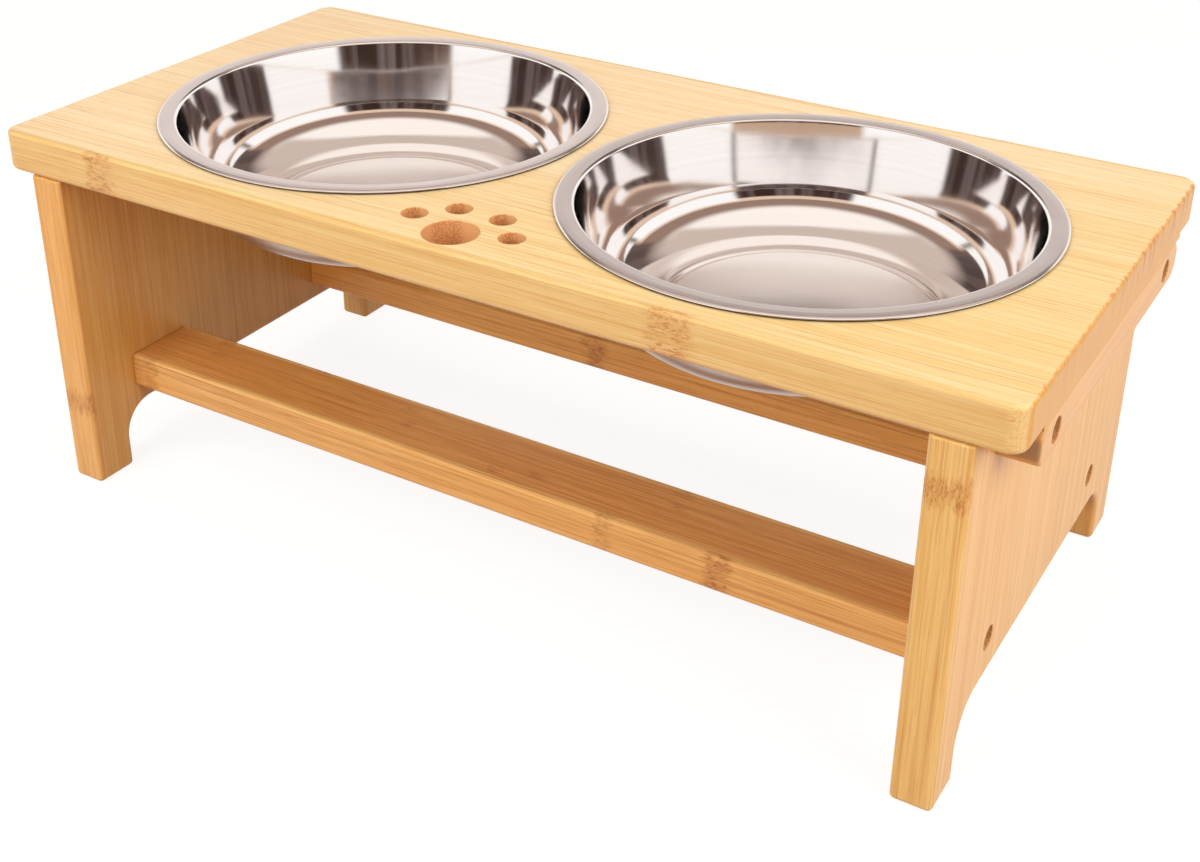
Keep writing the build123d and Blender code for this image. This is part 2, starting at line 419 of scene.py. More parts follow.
# Two numbers in a constant below are the start and the end of a change.
SEED_STEPS = (71.0, 13.0, 29.0)
NODE_SEED = 4.5
SHOWN_SEED = 9.5
SCORCH_SEED = 2.5
NARROW_FADE = (2.8, 4.4)
END_FADE = (0.15, 1.5)
BLUNT_FADE = (0.6, 6.0)
WANDER = Pattern((0.006, 0.02, 0.02), detail=1.0)
WANDER_WIDTH = 3.0
FIBRE_LAYERS = (  # each with its weight
    (Pattern((0.009, 0.42, 0.42), detail=3.0, roughness=0.6), 0.4),
    (Pattern((0.018, 2.1, 2.1), detail=3.0, roughness=0.65), 0.38),
    (Pattern((0.05, 4.4, 4.4), detail=1.0), 0.22),
)
FIBRE_CONTRAST = (0.4, 0.58)
BLUNT_SHARE = 0.55
# painted sheen: slant and reach of the strips painted paler towards the rear and the left
SHEEN_SLANT = 0.55
SHEEN_REACH = (-155.0, 60.0)
DASHES = Pattern((0.013, 1.15, 1.15), start=0.57, full=0.65)
PORES = Pattern((0.075, 3.4, 3.4), detail=1.0, start=0.6, full=0.7)
FLAT_LINES = Pattern((0.006, 0.9, 0.9), detail=3.0, roughness=0.65, start=0.5, full=0.7)
SLOW_WARMTH = Pattern((0.004, 0.03, 0.03))
GLUE_LINE = (0.455, 0.5)
RAGGED_NODES = Pattern((0.1, 0.5, 0.5), detail=3.0)
RAGGED_REACH = 16.0
SPOT_FADE = (2.0, 5.5)
KNUCKLE_FADE = (0.25, 0.6)
KNUCKLE_DEPTH = (1.6, 4.0)
CURLS = Pattern((0.34, 1.2, 1.2), roughness=0.55, distortion=0.7, start=0.5, full=0.6)
PATCHES = Pattern((0.14, 0.3, 0.3), start=0.34, full=0.55)
END_STREAKS = Pattern((0.0, 0.34, 0.03), start=0.5, full=0.62)
RAGGED_EDGE = Pattern((0.2, 0.5, 0.5), detail=3.0)
RAGGED_EDGE_WIDTH = 2.4
END_EDGE = (0.6, 2.2)
SHADED_REAR = (-70.0, 30.0)
STREAK_HEIGHTS = (-17.0, -3.0)
STREAK_STRENGTHS = (0.1, 0.6)
SCORCH_OFFSET = 0.4
SCORCH_FADE = (0.1, 0.95)
SCORCH_HEIGHTS = (-2.2, -1.0)
BROKEN_EDGE = Pattern((0.2, 0.6, 0.6), start=0.46, full=0.56)
SPECKLE = Pattern((1.3, 1.5, 1.5), roughness=0.75, start=0.36, full=0.62)
WALL_FADE = (0.1, 0.5)
ROUGH_QUADRANT = (0.08, 0.4)


@dataclass(frozen=True)
class Bamboo(Finish):
    """Laminated bamboo under satin lacquer: strips on edge, long fibres, node marks and brown cuts.

    Attributes:
        grain: How the fibres lie.
        pale: Colour of the softer tissue.
        deep: Colour of the denser tissue.
        streak: Colour of the darkest fibres.
        curl: Colour of the curled fibres at a node.
        seed: Sets one piece's pattern apart from another.
        flat_pale: The same as pale where a strip shows its flat side.
        flat_deep: The same as deep there.
        narrow: Places across the strips of the faces that show a strip's flat side.
        ends: Places along the grain of the cut ends.
        knuckles: Node bands in narrow faces.
        bores: Holes whose walls show.
        toasted_end: Distance from the middle of the end whose upper edge is scorched, or 0.
        toasted_height: Height of that edge.
        strip_width: Width of a strip.
        strip_contrast: How far strips differ in warmth.
        node_spacing: Distance from one node to the next along a strip.
        node_share: Share of those nodes that show on a wide face.
        dashes: Strength of the long dark fibres.
        pores: Strength of the short ones.
        lacquer: How much of the lacquer's sheen shows.
        warm_tint: Tint of the warmest strips.
        painted_sheen: How far the strips are painted paler towards the rear and the left: painted sheen.
        painted_sheen_colour: The colour that this painted sheen pales them to.
        end_tint: Tint of the cut ends, which on the cleats also holds painted shade.
        cut_colour: Colour of sawn and drilled walls on the left of a hole.
        cut_painted_lit: The same on its right, painted lighter: painted light across the hole.
        scorch_colour: Colour of the scorched edge.
    """

    grain: Grain
    pale: Colour
    deep: Colour
    streak: Colour
    curl: Colour
    seed: float
    flat_pale: Colour = (241, 225, 170)
    flat_deep: Colour = (232, 205, 139)
    narrow: tuple[float, ...] = ()
    ends: tuple[float, ...] = ()
    knuckles: tuple[Knuckle, ...] = ()
    bores: tuple[Bore, ...] = ()
    toasted_end: float = 0.0
    toasted_height: float = 0.0
    strip_width: float = 5.6
    strip_contrast: float = 0.35
    node_spacing: float = 270.0
    node_share: float = 0.3
    dashes: float = 0.45
    pores: float = 0.3
    lacquer: float = 0.12
    warm_tint: Colour = (248, 229, 196)
    painted_sheen: float = 0.0
    painted_sheen_colour: Colour = (255, 241, 208)
    end_tint: Colour = (228, 192, 92)
    cut_colour: Colour = (228, 174, 122)
    cut_painted_lit: Colour = (230, 190, 136)
    scorch_colour: Colour = (214, 140, 70)

    def paint(self, graph: Graph) -> None:
        """Adds the wood's colour, relief and sheen.

        Args:
            graph: The material's graph.
        """
        place, (along, across, _) = graph.place(self.grain.value)
        place = graph.vector("ADD", place, tuple(self.seed * step for step in SEED_STEPS))
        strips = (graph.noise(place, WANDER) * WANDER_WIDTH + across) / self.strip_width
        strip = strips.floor()

        colour, fibres = self._fibres(graph, place, (along, across), strip.chance(self.seed))
        glue = abs(strips.fraction() - 0.5).rise(*GLUE_LINE, high=0.3)
        colour = graph.blend(glue, colour, self.streak)
        colour, curls = self._node_marks(graph, colour, place, (along, across), strip)
        colour = self._scorch(graph, colour, place, strip)
        colour, cut = self._cuts(graph, colour, place)

        normal = graph.bump(curls * 0.5 + fibres + cut * 0.5, depth=0.09, strength=0.5)
        roughness = fibres * 0.22 + 0.3 + cut * 0.3
        sheen = {"Specular_IOR_Level": 0.4, "Coat_Weight": self.lacquer, "Coat_Roughness": 0.26}
        graph.finish(colour, roughness, normal, **sheen)

    def _near(self, at: Level, places: Iterable[float], full: float, none: float) -> Number:
        """Tells how near a point is to any of some planes.

        Args:
            at: The point's place on the planes' axis.
            places: The planes' places on it.
            full: Distance up to which it counts in full.
            none: Distance from which it counts no more.

        Returns:
            The share, from 0 to 1.
        """
        share: Number = 0.0
        for place in places:
            share = abs(at - place).fall(full, none).most(share)
        return share

    def _fibres(self, graph: Graph, place: Socket, parts: Pair, tone: Level) -> tuple[Tint, Level]:
        """Lays down the wood's body colour with its long fibres.

        Args:
            graph: The material's graph.
            place: The place on the piece, grain first.
            parts: The place along the grain and across the strips.
            tone: The strip's own random value.

        Returns:
            The colour, and the fibres' height.
        """
        along, across = parts
        narrow = self._near(across, self.narrow, *NARROW_FADE)
        end = self._near(along, self.ends, *END_FADE)
        blunt = self._near(along, self.ends, *BLUNT_FADE) * 0.75
        mixed = sum(graph.noise(place, layer) * weight for layer, weight in FIBRE_LAYERS)
        share = mixed.rise(*FIBRE_CONTRAST)
        share = (BLUNT_SHARE - share) * blunt + share

        edgewise = graph.blend(share, self.deep, self.pale)
        # painted sheen: the strips are painted paler towards the rear and the left, for the pale backdrop
        # mirrored in the lacquer
        if self.painted_sheen:
            _, (x, y, _) = graph.place()
            sheen_share = (y - x * SHEEN_SLANT).rise(*SHEEN_REACH, high=self.painted_sheen)
            edgewise = graph.blend(sheen_share, edgewise, self.painted_sheen_colour)
        colour = graph.blend(narrow, edgewise, graph.blend(share, self.flat_deep, self.flat_pale))
        for pattern, strength, where in (
            (DASHES, self.dashes, 1.0),
            (PORES, self.pores, 1.0),
            (FLAT_LINES, 0.5, narrow),
        ):
            factor = graph.marks(place, pattern, high=strength) * where
            colour = graph.blend(factor, colour, self.streak)
        warmth = tone * self.strip_contrast + graph.noise(place, SLOW_WARMTH) * 0.8 - 0.25
        colour = graph.blend(warmth, colour, self.warm_tint, mode="MULTIPLY")
        colour = graph.blend(end, colour, self.end_tint, mode="MULTIPLY")
        return graph.blend(end * tone * 0.22, colour, self.streak), mixed

    def _node_marks(
        self, graph: Graph, colour: Tint, place: Socket, parts: Pair, strip: Level
    ) -> tuple[Tint, Level]:
        """Adds the culm's nodes: small curled marks in wide faces, bands across narrow ones.

        Args:
            graph: The material's graph.
            colour: The colour so far.
            place: The place on the piece, grain first.
            parts: The place along the grain and across the strips.
            strip: The strip's number.

        Returns:
            The colour with the marks, and the curled fibres' height.
        """
        along, across = parts
        ragged = graph.noise(place, RAGGED_NODES) * RAGGED_REACH + along
        cell = (strip.chance(self.seed + NODE_SEED) * self.node_spacing + ragged) / self.node_spacing
        near = abs(cell.fraction() - 0.5).fall(*(reach / self.node_spacing for reach in SPOT_FADE))
        shown = graph.math("LESS_THAN", cell.floor().chance(self.seed + SHOWN_SEED), self.node_share)

        bands: Number = 0.0
        for knuckle in self.knuckles:
            offset = abs(ragged - (knuckle.along + RAGGED_REACH / 2))
            reach = offset.fall(*(share * knuckle.length for share in KNUCKLE_FADE))
            bands = (reach * abs(across - knuckle.across).fall(*KNUCKLE_DEPTH)).most(bands)

        marks = (near * shown * 0.55).most(bands) * graph.marks(place, PATCHES, low=0.35)
        lines = marks * graph.marks(place, CURLS)
        colour = graph.blend(marks * 0.42, colour, self.streak)
        return graph.blend(lines * 0.62, colour, self.curl), lines

    def _scorch(self, graph: Graph, colour: Tint, place: Socket, strip: Level) -> Tint:
        """Darkens the eased upper edge of an end and draws the streaks that run down from it.

        Args:
            graph: The material's graph.
            colour: The colour so far.
            place: The place on the piece, grain first.
            strip: The strip's number.

        Returns:
            The colour with the scorched edge, or unchanged if the piece has none.
        """
        if not self.toasted_end:
            return colour
        _, (x, y, z) = graph.place()
        inward = self.toasted_end - abs(x)
        height = z - self.toasted_height
        on_end = inward.fall(*END_EDGE) * y.rise(*SHADED_REAR, low=0.3)
        streaks = graph.marks(place, END_STREAKS) * height.rise(*STREAK_HEIGHTS, *STREAK_STRENGTHS) * on_end
        colour = graph.blend(streaks, colour, self.curl)

        from_edge = abs(inward - graph.noise(place, RAGGED_EDGE) * RAGGED_EDGE_WIDTH + SCORCH_OFFSET)
        line = from_edge.fall(*SCORCH_FADE) * height.rise(*SCORCH_HEIGHTS)
        uneven = strip.chance(self.seed + SCORCH_SEED) * 0.5 + 0.4
        factor = line * uneven * graph.marks(place, BROKEN_EDGE, low=0.06)
        return graph.blend(factor, colour, self.scorch_colour)

    def _cuts(self, graph: Graph, colour: Tint, place: Socket) -> tuple[Tint, Level]:
        """Browns the walls of the holes, with specks where the cutter met the fibres head on.

        Args:
            graph: The material's graph.
            colour: The colour so far.
            place: The place on the piece, grain first.

        Returns:
            The colour with the cut walls, and the height of their rough parts.
        """
        _, parts = graph.place()
        axes = dict(zip("XYZ", parts))
        cut: Number = 0.0
        rough: Number = 0.0
        side: Number = 0.5
        for bore in self.bores:
            letters = "XYZ".replace(bore.axis, "")
            first, second = (axes[letter] - middle for letter, middle in zip(letters, bore.centre))
            wall = graph.length(first, second).fall(*(bore.radius + gap for gap in WALL_FADE))
            cut = wall.most(cut)
            quadrant = first * second / -(bore.radius**2)
            rough = (wall * quadrant.rise(*ROUGH_QUADRANT)).most(rough)
            # painted light: the wall's colour runs from cut_colour on a hole's left to a lighter one on its
            # right
            side = wall * (first.rise(-bore.radius, bore.radius) - side) + side
        speckle = graph.noise(place, SPECKLE)
        specks = speckle.rise(SPECKLE.start, SPECKLE.full, 0.75, 0.0) * rough
        bare = graph.blend(side, self.cut_colour, self.cut_painted_lit)
        return graph.blend(cut, colour, graph.blend(specks, bare, self.curl)), speckle * rough


@dataclass(frozen=True)
class BowlSteel(Finish):
    """Stainless steel inside a pressed bowl: mirror wall, satin rim, base turned in fine rings.

    Attributes:
        bowl_x: Distance of each bowl's axis from the stand's middle.
        rim_z: Height of the rim's upper face.
        rim_inner_radius: Where the flat rim starts.
        rim_outer_radius: Where it ends.
        base_radius: Radius of the raised base.
        colour: Colour of the metal.
        rim_light_tint: Colour of the rim, pinker than the rest of the metal: painted light on the satin rim.
        contact_shade_colour: Near-black colour of the fold under the rim's edge: painted contact shadow.
        rim_inset: Distances outwards from the mouth between which the rim's satin starts.
        rim_depth: Heights under the rim's top between which it does.
        base_fade: Distances outwards from the raised base's edge between which its satin ends.
        contact_shade_inset: Distances outwards from the rim's edge between which that painted shadow starts.
        contact_shade_depth: Heights under the rim's top between which it ends.
        smudge: The faint marks that wiping leaves.
        ripple: The unevenness of the pressed sheet.
    """

    bowl_x: float
    rim_z: float
    rim_inner_radius: float
    rim_outer_radius: float
    base_radius: float
    colour: Colour = (253, 250, 249)
    rim_light_tint: Colour = (255, 244, 240)
    contact_shade_colour: Colour = (66, 46, 38)
    rim_inset: Point = (0.4, 1.2)
    rim_depth: Point = (-0.4, -0.22)
    base_fade: Point = (-3.0, -1.0)
    contact_shade_inset: Point = (-1.4, -0.8)
    contact_shade_depth: Point = (-1.05, -0.75)
    smudge: Pattern = Pattern((0.03, 0.03, 0.05), detail=3.0, roughness=0.6)
    ripple: Pattern = Pattern((0.035, 0.035, 0.02), detail=1.0)

    def paint(self, graph: Graph) -> None:
        """Adds the steel's colour, relief and sheen.

        Args:
            graph: The material's graph.
        """
        place, (x, y, z) = graph.place()
        radius = graph.length(abs(x) - self.bowl_x, y)
        height = z - self.rim_z
        rings = graph.lines(radius, scale=1.2, detail=2.0, roughness=0.7)
        on_rim = (radius - self.rim_inner_radius).rise(*self.rim_inset) * height.rise(*self.rim_depth)
        on_base = (radius - self.base_radius).fall(*self.base_fade)
        roughness = on_rim * 0.22 + on_base * 0.16 + graph.noise(place, self.smudge) * 0.08 + 0.03

        # painted light: the rim gets its own tint to light it more
        lit_metal = graph.blend(on_rim, self.colour, self.rim_light_tint)
        # painted shadow: the lowest part of the rim's fold is painted near black, for the dark line where
        # rim meets board
        contact_shade = (radius - self.rim_outer_radius).rise(*self.contact_shade_inset) * height.fall(*self.contact_shade_depth)
        colour = graph.blend(contact_shade, graph.shaded(lit_metal, rings * 0.1 + 0.95), self.contact_shade_colour)
        normal = graph.bump(graph.noise(place, self.ripple), depth=0.35, strength=0.35)
        ring_height = rings * on_base.most(on_rim * 0.25)
        normal = graph.bump(ring_height, depth=0.012, strength=0.35, under=normal)
        graph.finish(colour, roughness, normal, Metallic=1.0)


@dataclass(frozen=True)
class SatinSteel(Finish):
    """The outside of the same bowls: turned satin, greyer than the mirror inside.

    Attributes:
        colour: Colour of the metal.
        cloud: The soft unevenness of the satin.
    """

    colour: Colour = (192, 181, 175)
    cloud: Pattern = Pattern((0.02, 0.02, 0.04), detail=3.0)

    def paint(self, graph: Graph) -> None:
        """Adds the steel's colour, relief and sheen.

        Args:
            graph: The material's graph.
        """
        place, (_, _, z) = graph.place()
        lines = graph.lines(z, scale=2.2, detail=3.0)
        cloud = graph.noise(place, self.cloud)
        colour = graph.shaded(self.colour, lines * 0.14 + cloud * 0.12 + 0.84)
        normal = graph.bump(lines, depth=0.02, strength=0.4)
        graph.finish(colour, cloud * 0.14 + 0.26, normal, Metallic=1.0)


@dataclass(frozen=True)
class PlatedSteel(Finish):
    """Zinc plating on bolts and inserts: grey, slightly mottled, with fine scratches.

    Attributes:
        colour: Colour of the plating.
        tarnish: Colour where it has dulled.
        mottle: How the dull patches lie.
        scratches: How the scratches lie.
    """

    colour: Colour
    tarnish: Colour
    mottle: Pattern = Pattern((0.6, 0.6, 0.6), detail=4.0, roughness=0.6, start=0.4, full=0.65)
    scratches: Pattern = Pattern((0.3, 6.0, 6.0))

    def paint(self, graph: Graph) -> None:
        """Adds the plating's colour, relief and sheen.

        Args:
            graph: The material's graph.
        """
        place, _ = graph.place()
        mottle = graph.noise(place, self.mottle)
        dull = mottle.rise(self.mottle.start, self.mottle.full)
        colour = graph.blend(dull, self.colour, self.tarnish)
        normal = graph.bump(graph.noise(place, self.scratches), depth=0.02, strength=0.4)
        graph.finish(colour, mottle * 0.25 + 0.2, normal, Metallic=1.0)


@dataclass(frozen=True)
class DowelWood(Finish):
    """Raw beech of the dowels: pale, flecked, matt.

    Attributes:
        pale: Colour of the wood.
        fleck: Colour of its flecks.
        body: How its grain lies.
        flecks: How its flecks lie.
    """

    pale: Colour = (222, 188, 146)
    fleck: Colour = (176, 128, 86)
    body: Pattern = Pattern((0.4, 1.2, 0.4), detail=3.0)
    flecks: Pattern = Pattern((1.2, 3.0, 1.2), start=0.56, full=0.66)

    def paint(self, graph: Graph) -> None:
        """Adds the beech's colour, relief and sheen.

        Args:
            graph: The material's graph.
        """
        place, _ = graph.place()
        body = graph.noise(place, self.body)
        colour = graph.blend(body * 0.4, self.pale, self.fleck)
        colour = graph.blend(graph.marks(place, self.flecks, high=0.7), colour, self.fleck)
        normal = graph.bump(body, depth=0.05, strength=0.4)
        graph.finish(colour, body * 0.2 + 0.55, normal, Specular_IOR_Level=0.3)


def dress(node: str, material: Material) -> None:
    """Gives one of the frame's nodes its finish.

    Args:
        node: The node's name.
        material: The material for all of it.
    """
    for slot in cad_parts[node].material_slots:
        slot.material = material
    log.info("%s: %s", node, material.name)


def millimetres(node: str) -> tuple[Vector, Vector]:
    """Reads the lowest and highest corners of a node's box, in millimetres."""
    low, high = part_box(node)
    return low / MM, high / MM


def rounded_path(corners: list[Triple], step: float, support: float) -> list[Point]:
    """Rounds the inner corners of an open path with arcs.

    Args:
        corners: The places of the path's corners, each with its radius; the two ends stay sharp.
        step: Largest turn from one point of an arc to the next, in radians.
        support: How far from an arc a straight stretch gets one more point, to keep its shading flat.

    Returns:
        The rounded path's points.
    """
    fewest_steps = 3
    places = [Vector((x, y)) for x, y, _ in corners]
    radii = [radius for _, _, radius in corners]
    points = [tuple(places[0])]
    for before, corner, after, radius in zip(places, places[1:], places[2:], radii[1:]):
        into = corner - before
        out = after - corner
        turn = atan2(into.x * out.y - into.y * out.x, into.dot(out))
        start = corner - into.normalized() * radius * tan(abs(turn) / 2)
        lean = pi / 2 if turn > 0 else -pi / 2
        heading = atan2(into.y, into.x)
        centre = start + radius * Vector((cos(heading + lean), sin(heading + lean)))
        if (start - Vector(points[-1])).length > 3 * support:
            points.append(tuple(Vector(points[-1]) + into.normalized() * support))
            points.append(tuple(start - into.normalized() * support))
        count = max(fewest_steps, ceil(abs(turn) / step))
        for i in range(count + 1):
            angle = heading - lean + turn * i / count
            points.append((centre.x + radius * cos(angle), centre.y + radius * sin(angle)))
    points.append(tuple(places[-1]))
    return points


@dataclass
class Bowl:
    """One drop-in bowl: spun sheet with a ringed base, leaning wall, crowned rim and hemmed edge.

    Attributes:
        side: The end of the stand that it sits at.
        sheet: Thickness of the steel.
        rim_width: Width of the rim from the mouth's corner to its edge.
        rim_rise: How far it climbs outwards.
        rim_crown: Width of its highest part and the rolled edge.
        crown_rounding: Radius where the climb ends.
        roll_slope: How steeply its outer edge rolls down, in degrees.
        roll_drop: How far it drops there.
        roll_rounding: Radius where it starts to.
        mouth_rounding: Radius between the wall and the rim.
        wall_lean: How far the wall leans outwards, in degrees.
        corner_radius: Radius between the wall and the base.
        base_setback: Width of the flat ring round the raised base.
        base_step: Height of the raised base.
        base_step_run: Width of the slope up to it.
        base_rounding: Radius at both ends of that slope.
        bead_place: Where in the flat ring the fine bead lies, as a share of its width.
        bead_rise: Height of that bead.
        bead_width: Its width.
        bead_rounding: Radii at its feet and top.
        hem_width: How far the rim's edge is folded back underneath.
        hem_rounding: Radius of the fold.
        hem_undercut: How much higher the fold lies at the edge than where it ends.
        hem_clearance: Gap between the fold's end and the board.
        turns: Number of faces round the axis.
        arc_step: Largest turn between two points of a rounding, in degrees.
        arc_support: How far from a rounding a straight stretch gets one more point.
        merge_distance: Distance up to which points become one.
        crease_angle: Sharpest angle that is shaded smooth, in degrees.
    """

    side: Side
    sheet: float = 0.6
    rim_width: float = 9.0
    rim_rise: float = 0.16
    rim_crown: float = 4.0
    crown_rounding: float = 9.0
    roll_slope: float = 38.0
    roll_drop: float = 0.66
    roll_rounding: float = 2.15
    mouth_rounding: float = 1.6
    wall_lean: float = 11.5
    corner_radius: float = 27.0
    base_setback: float = 6.2
    base_step: float = 1.2
    base_step_run: float = 2.5
    base_rounding: float = 2.0
    bead_place: float = 0.55
    bead_rise: float = 0.3
    bead_width: float = 1.6
    bead_rounding: Point = (1.0, 0.6)
    hem_width: float = 3.4
    hem_rounding: float = 0.63
    hem_undercut: float = 0.2
    hem_clearance: float = 0.02
    turns: int = 176
    arc_step: float = 4.0
    arc_support: float = 0.5
    merge_distance: float = 0.01
    crease_angle: float = 35.0

    def __post_init__(self) -> None:
        """Reads the bowl's outer sizes from the frame."""
        low, high = millimetres(self.node)
        self.centre_x = (low.x + high.x) / 2
        self.rim_radius = (high.x - low.x) / 2
        self.rim_z = high.z
        self.floor_z = low.z + self.sheet
        self.board_z = millimetres("top_board")[1].z
        self.mouth_radius = self.rim_radius - self.rim_width
        self.foot_radius = self.mouth_radius - (self.rim_z - self.floor_z) * tan(radians(self.wall_lean))
        flat_radius = self.foot_radius - self.corner_radius * tan(radians(90 - self.wall_lean) / 2)
        self.base_radius = flat_radius - self.base_setback

    @property
    def node(self) -> str:
        """The frame's node that this bowl stands for."""
        return f"{self.side.label}_bowl"

    def profile(self) -> list[Point]:
        """Draws the sheet's upper face, from the axis to the end of the hem.

        Returns:
            Points as distance from the axis and height.
        """
        base_z = self.floor_z + self.base_step
        bead_middle = self.base_radius + self.bead_place * self.base_setback
        seat_z = self.board_z + self.hem_clearance
        roll_width = self.roll_drop / tan(radians(self.roll_slope))
        bead_foot, bead_top = self.bead_rounding
        corners = [
            (0.0, base_z, 0.0),
            (self.base_radius - self.base_step_run, base_z, self.base_rounding),
            (self.base_radius, self.floor_z, self.base_rounding),
            (bead_middle - self.bead_width / 2, self.floor_z, bead_foot),
            (bead_middle, self.floor_z + self.bead_rise, bead_top),
            (bead_middle + self.bead_width / 2, self.floor_z, bead_foot),
            (self.foot_radius, self.floor_z, self.corner_radius),
            (self.mouth_radius, self.rim_z - self.rim_rise, self.mouth_rounding),
            (self.rim_radius - self.rim_crown, self.rim_z, self.crown_rounding),
            (self.rim_radius - roll_width, self.rim_z, self.roll_rounding),
            (self.rim_radius, self.rim_z - self.roll_drop, self.hem_rounding),
            (self.rim_radius, seat_z + self.hem_undercut, self.hem_rounding),
            (self.rim_radius - self.hem_width, seat_z, 0.0),
        ]
        return rounded_path(corners, radians(self.arc_step), self.arc_support)

    def build(self, inside: Material, outside: Material) -> None:
        """Spins the sheet and gives it its thickness.

        Args:
            inside: Finish of its upper face.
            outside: Finish of its lower face.
        """
        points = [Vector((self.centre_x + r, 0.0, z)) * MM for r, z in self.profile()]
        centre = (self.centre_x * MM, 0, 0)
        bpy.ops.object.select_all(action="DESELECT")
        bpy.ops.mesh.primitive_plane_add(size=MM, location=points[0])
        bowl = bpy.context.object
        bowl.name = f"{self.node}_pressed"
        bpy.ops.object.transform_apply(location=True, rotation=True, scale=True)
        bpy.ops.object.mode_set(mode="EDIT")
        bpy.ops.mesh.merge(type="CENTER")
        for start, end in zip(points, points[1:]):
            bpy.ops.mesh.extrude_vertices_move(TRANSFORM_OT_translate={"value": end - start})
        bpy.ops.mesh.select_all(action="SELECT")
        bpy.ops.mesh.spin(steps=self.turns, angle=2 * pi, center=centre, axis=(0, 0, 1), use_auto_merge=True)
        bpy.ops.mesh.select_all(action="SELECT")
        bpy.ops.mesh.remove_doubles(threshold=self.merge_distance * MM)
        bpy.ops.mesh.normals_make_consistent(inside=False)
        bpy.ops.object.mode_set(mode="OBJECT")
        self._turn_face_up(bowl)
        bowl.data.materials.append(inside)
        bowl.data.materials.append(outside)
        bpy.ops.object.modifier_add(type="SOLIDIFY")
        wall = bowl.modifiers[-1]
        wall.material_offset = 1
        wall.thickness = self.sheet * MM
        wall.offset = -1.0
        wall.use_even_offset = True
        bpy.ops.object.modifier_apply(modifier=wall.name)
        bpy.ops.object.shade_smooth_by_angle(angle=radians(self.crease_angle))
        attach(bowl, self.node)
        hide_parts(self.node)
        log.info("%s: %d faces", bowl.name, len(bowl.data.polygons))

    def _turn_face_up(self, bowl: bpy.types.Object) -> None:
        """Makes the sheet's faces point into the bowl, so that its thickness goes to the outside.

        Args:
            bowl: The spun sheet.
        """
        axis = Vector((self.centre_x, 0.0)) * MM
        reach = (self.base_radius - self.base_step_run) * MM
        on_base = [face for face in bowl.data.polygons if (face.center.xy - axis).length < reach]
        if sum(face.normal.z for face in on_base) < 0:
            bpy.ops.object.mode_set(mode="EDIT")
            bpy.ops.mesh.select_all(action="SELECT")
            bpy.ops.mesh.flip_normals()
            bpy.ops.object.mode_set(mode="OBJECT")


@dataclass
class Bowls:
    """The two bowls and their common steel."""

    def build(self) -> None:
        """Models both bowls and gives them their finish."""
        bowls = [Bowl(side) for side in Side]
        first = bowls[0]
        inside = BowlSteel(
            name="bowl_steel_polished",
            bowl_x=abs(first.centre_x),
            rim_z=first.rim_z,
            rim_inner_radius=first.mouth_radius,
            rim_outer_radius=first.rim_radius,
            base_radius=first.base_radius,
        ).build()
        outside = SatinSteel("bowl_steel_satin").build()
        for bowl in bowls:
            bowl.build(inside, outside)


@dataclass
class TopBoard:
    """The board with its cut-outs and paw ornament.

    Attributes:
        cutout_radius: Radius of the bowls' cut-outs.
        pad_radius: Radius of the ornament's large hole.
        pad_setback: Its distance from the front edge.
        toe_radius: Radius of its small holes.
        toes: Their places from the large hole's centre, on the right half.
        knuckles: Where nodes cross the front edge, and how long they are.
        rear_knuckles: The same for the rear edge.
    """

    cutout_radius: float = 102.5
    pad_radius: float = 12.2
    pad_setback: float = 16.5
    toe_radius: float = 5.8
    toes: tuple[Point, ...] = ((11.2, 22.0), (24.8, 8.5))
    knuckles: tuple[Point, ...] = ((-188.0, 17.0), (112.0, 23.0))
    rear_knuckles: tuple[Point, ...] = ((-120.0, 18.0), (160.0, 15.0))

    def build(self) -> None:
        """Gives the board its finish."""
        low, high = millimetres("top_board")
        left_bowl = millimetres("left_bowl")
        bowl_x = abs(left_bowl[0].x + left_bowl[1].x) / 2
        pad_y = low.y + self.pad_setback
        bores = [Bore("Z", (side.value * bowl_x, 0.0), self.cutout_radius) for side in Side]
        bores.append(Bore("Z", (0.0, pad_y), self.pad_radius))
        bores += [
            Bore("Z", (side.value * spread, pad_y + reach), self.toe_radius)
            for side in Side
            for spread, reach in self.toes
        ]
        knuckles = [Knuckle(x, low.y, length) for x, length in self.knuckles]
        knuckles += [Knuckle(x, high.y, length) for x, length in self.rear_knuckles]
        finish = Bamboo(
            name="bamboo_board_lacquered",
            grain=Grain.ALONG_BOARD,
            pale=(247, 232, 181),
            deep=(241, 217, 155),
            streak=(216, 162, 96),
            curl=(172, 104, 48),
            seed=1.0,
            flat_pale=(241, 225, 170),
            flat_deep=(232, 205, 139),
            narrow=(low.y, high.y),
            ends=(low.x, high.x),
            knuckles=tuple(knuckles),
            bores=tuple(bores),
            toasted_end=high.x,
            toasted_height=high.z,
            dashes=0.38,
            lacquer=0.25,
            # painted sheen on the board's top, paler towards its rear and left
            painted_sheen=0.8,
        )
        dress("top_board", finish.build())


@dataclass
class Cleats:
    """The blocks under the board's ends.

    Attributes:
        hole_radius: Radius of the sunk bolt holes.
        hole_inset: Their distance from the cleat's ends.
    """

    hole_radius: float = 5.4
    hole_inset: float = 19.0

    def build(self) -> None:
        """Gives both cleats their finish."""
        low, high = millimetres("right_cleat")
        hole_y = high.y - self.hole_inset
        hole_z = (low.z + high.z) / 2
        finish = Bamboo(
            name="bamboo_cleat_lacquered",
            grain=Grain.ACROSS_BOARD,
            pale=(236, 200, 141),
            deep=(225, 178, 113),
            streak=(214, 160, 100),
            curl=(186, 118, 62),
            seed=2.0,
            ends=(low.y, high.y),
            bores=tuple(Bore("X", (sign * hole_y, hole_z), self.hole_radius) for sign in (-1, 1)),
            strip_contrast=0.15,
            dashes=0.25,
            pores=0.15,
            # the cleats' ends are tinted darker partly as end grain and partly as painted shade in the
            # board's shadow
            end_tint=(189, 192, 219),
        )
        material = finish.build()
        for side in Side:
            dress(f"{side.label}_cleat", material)


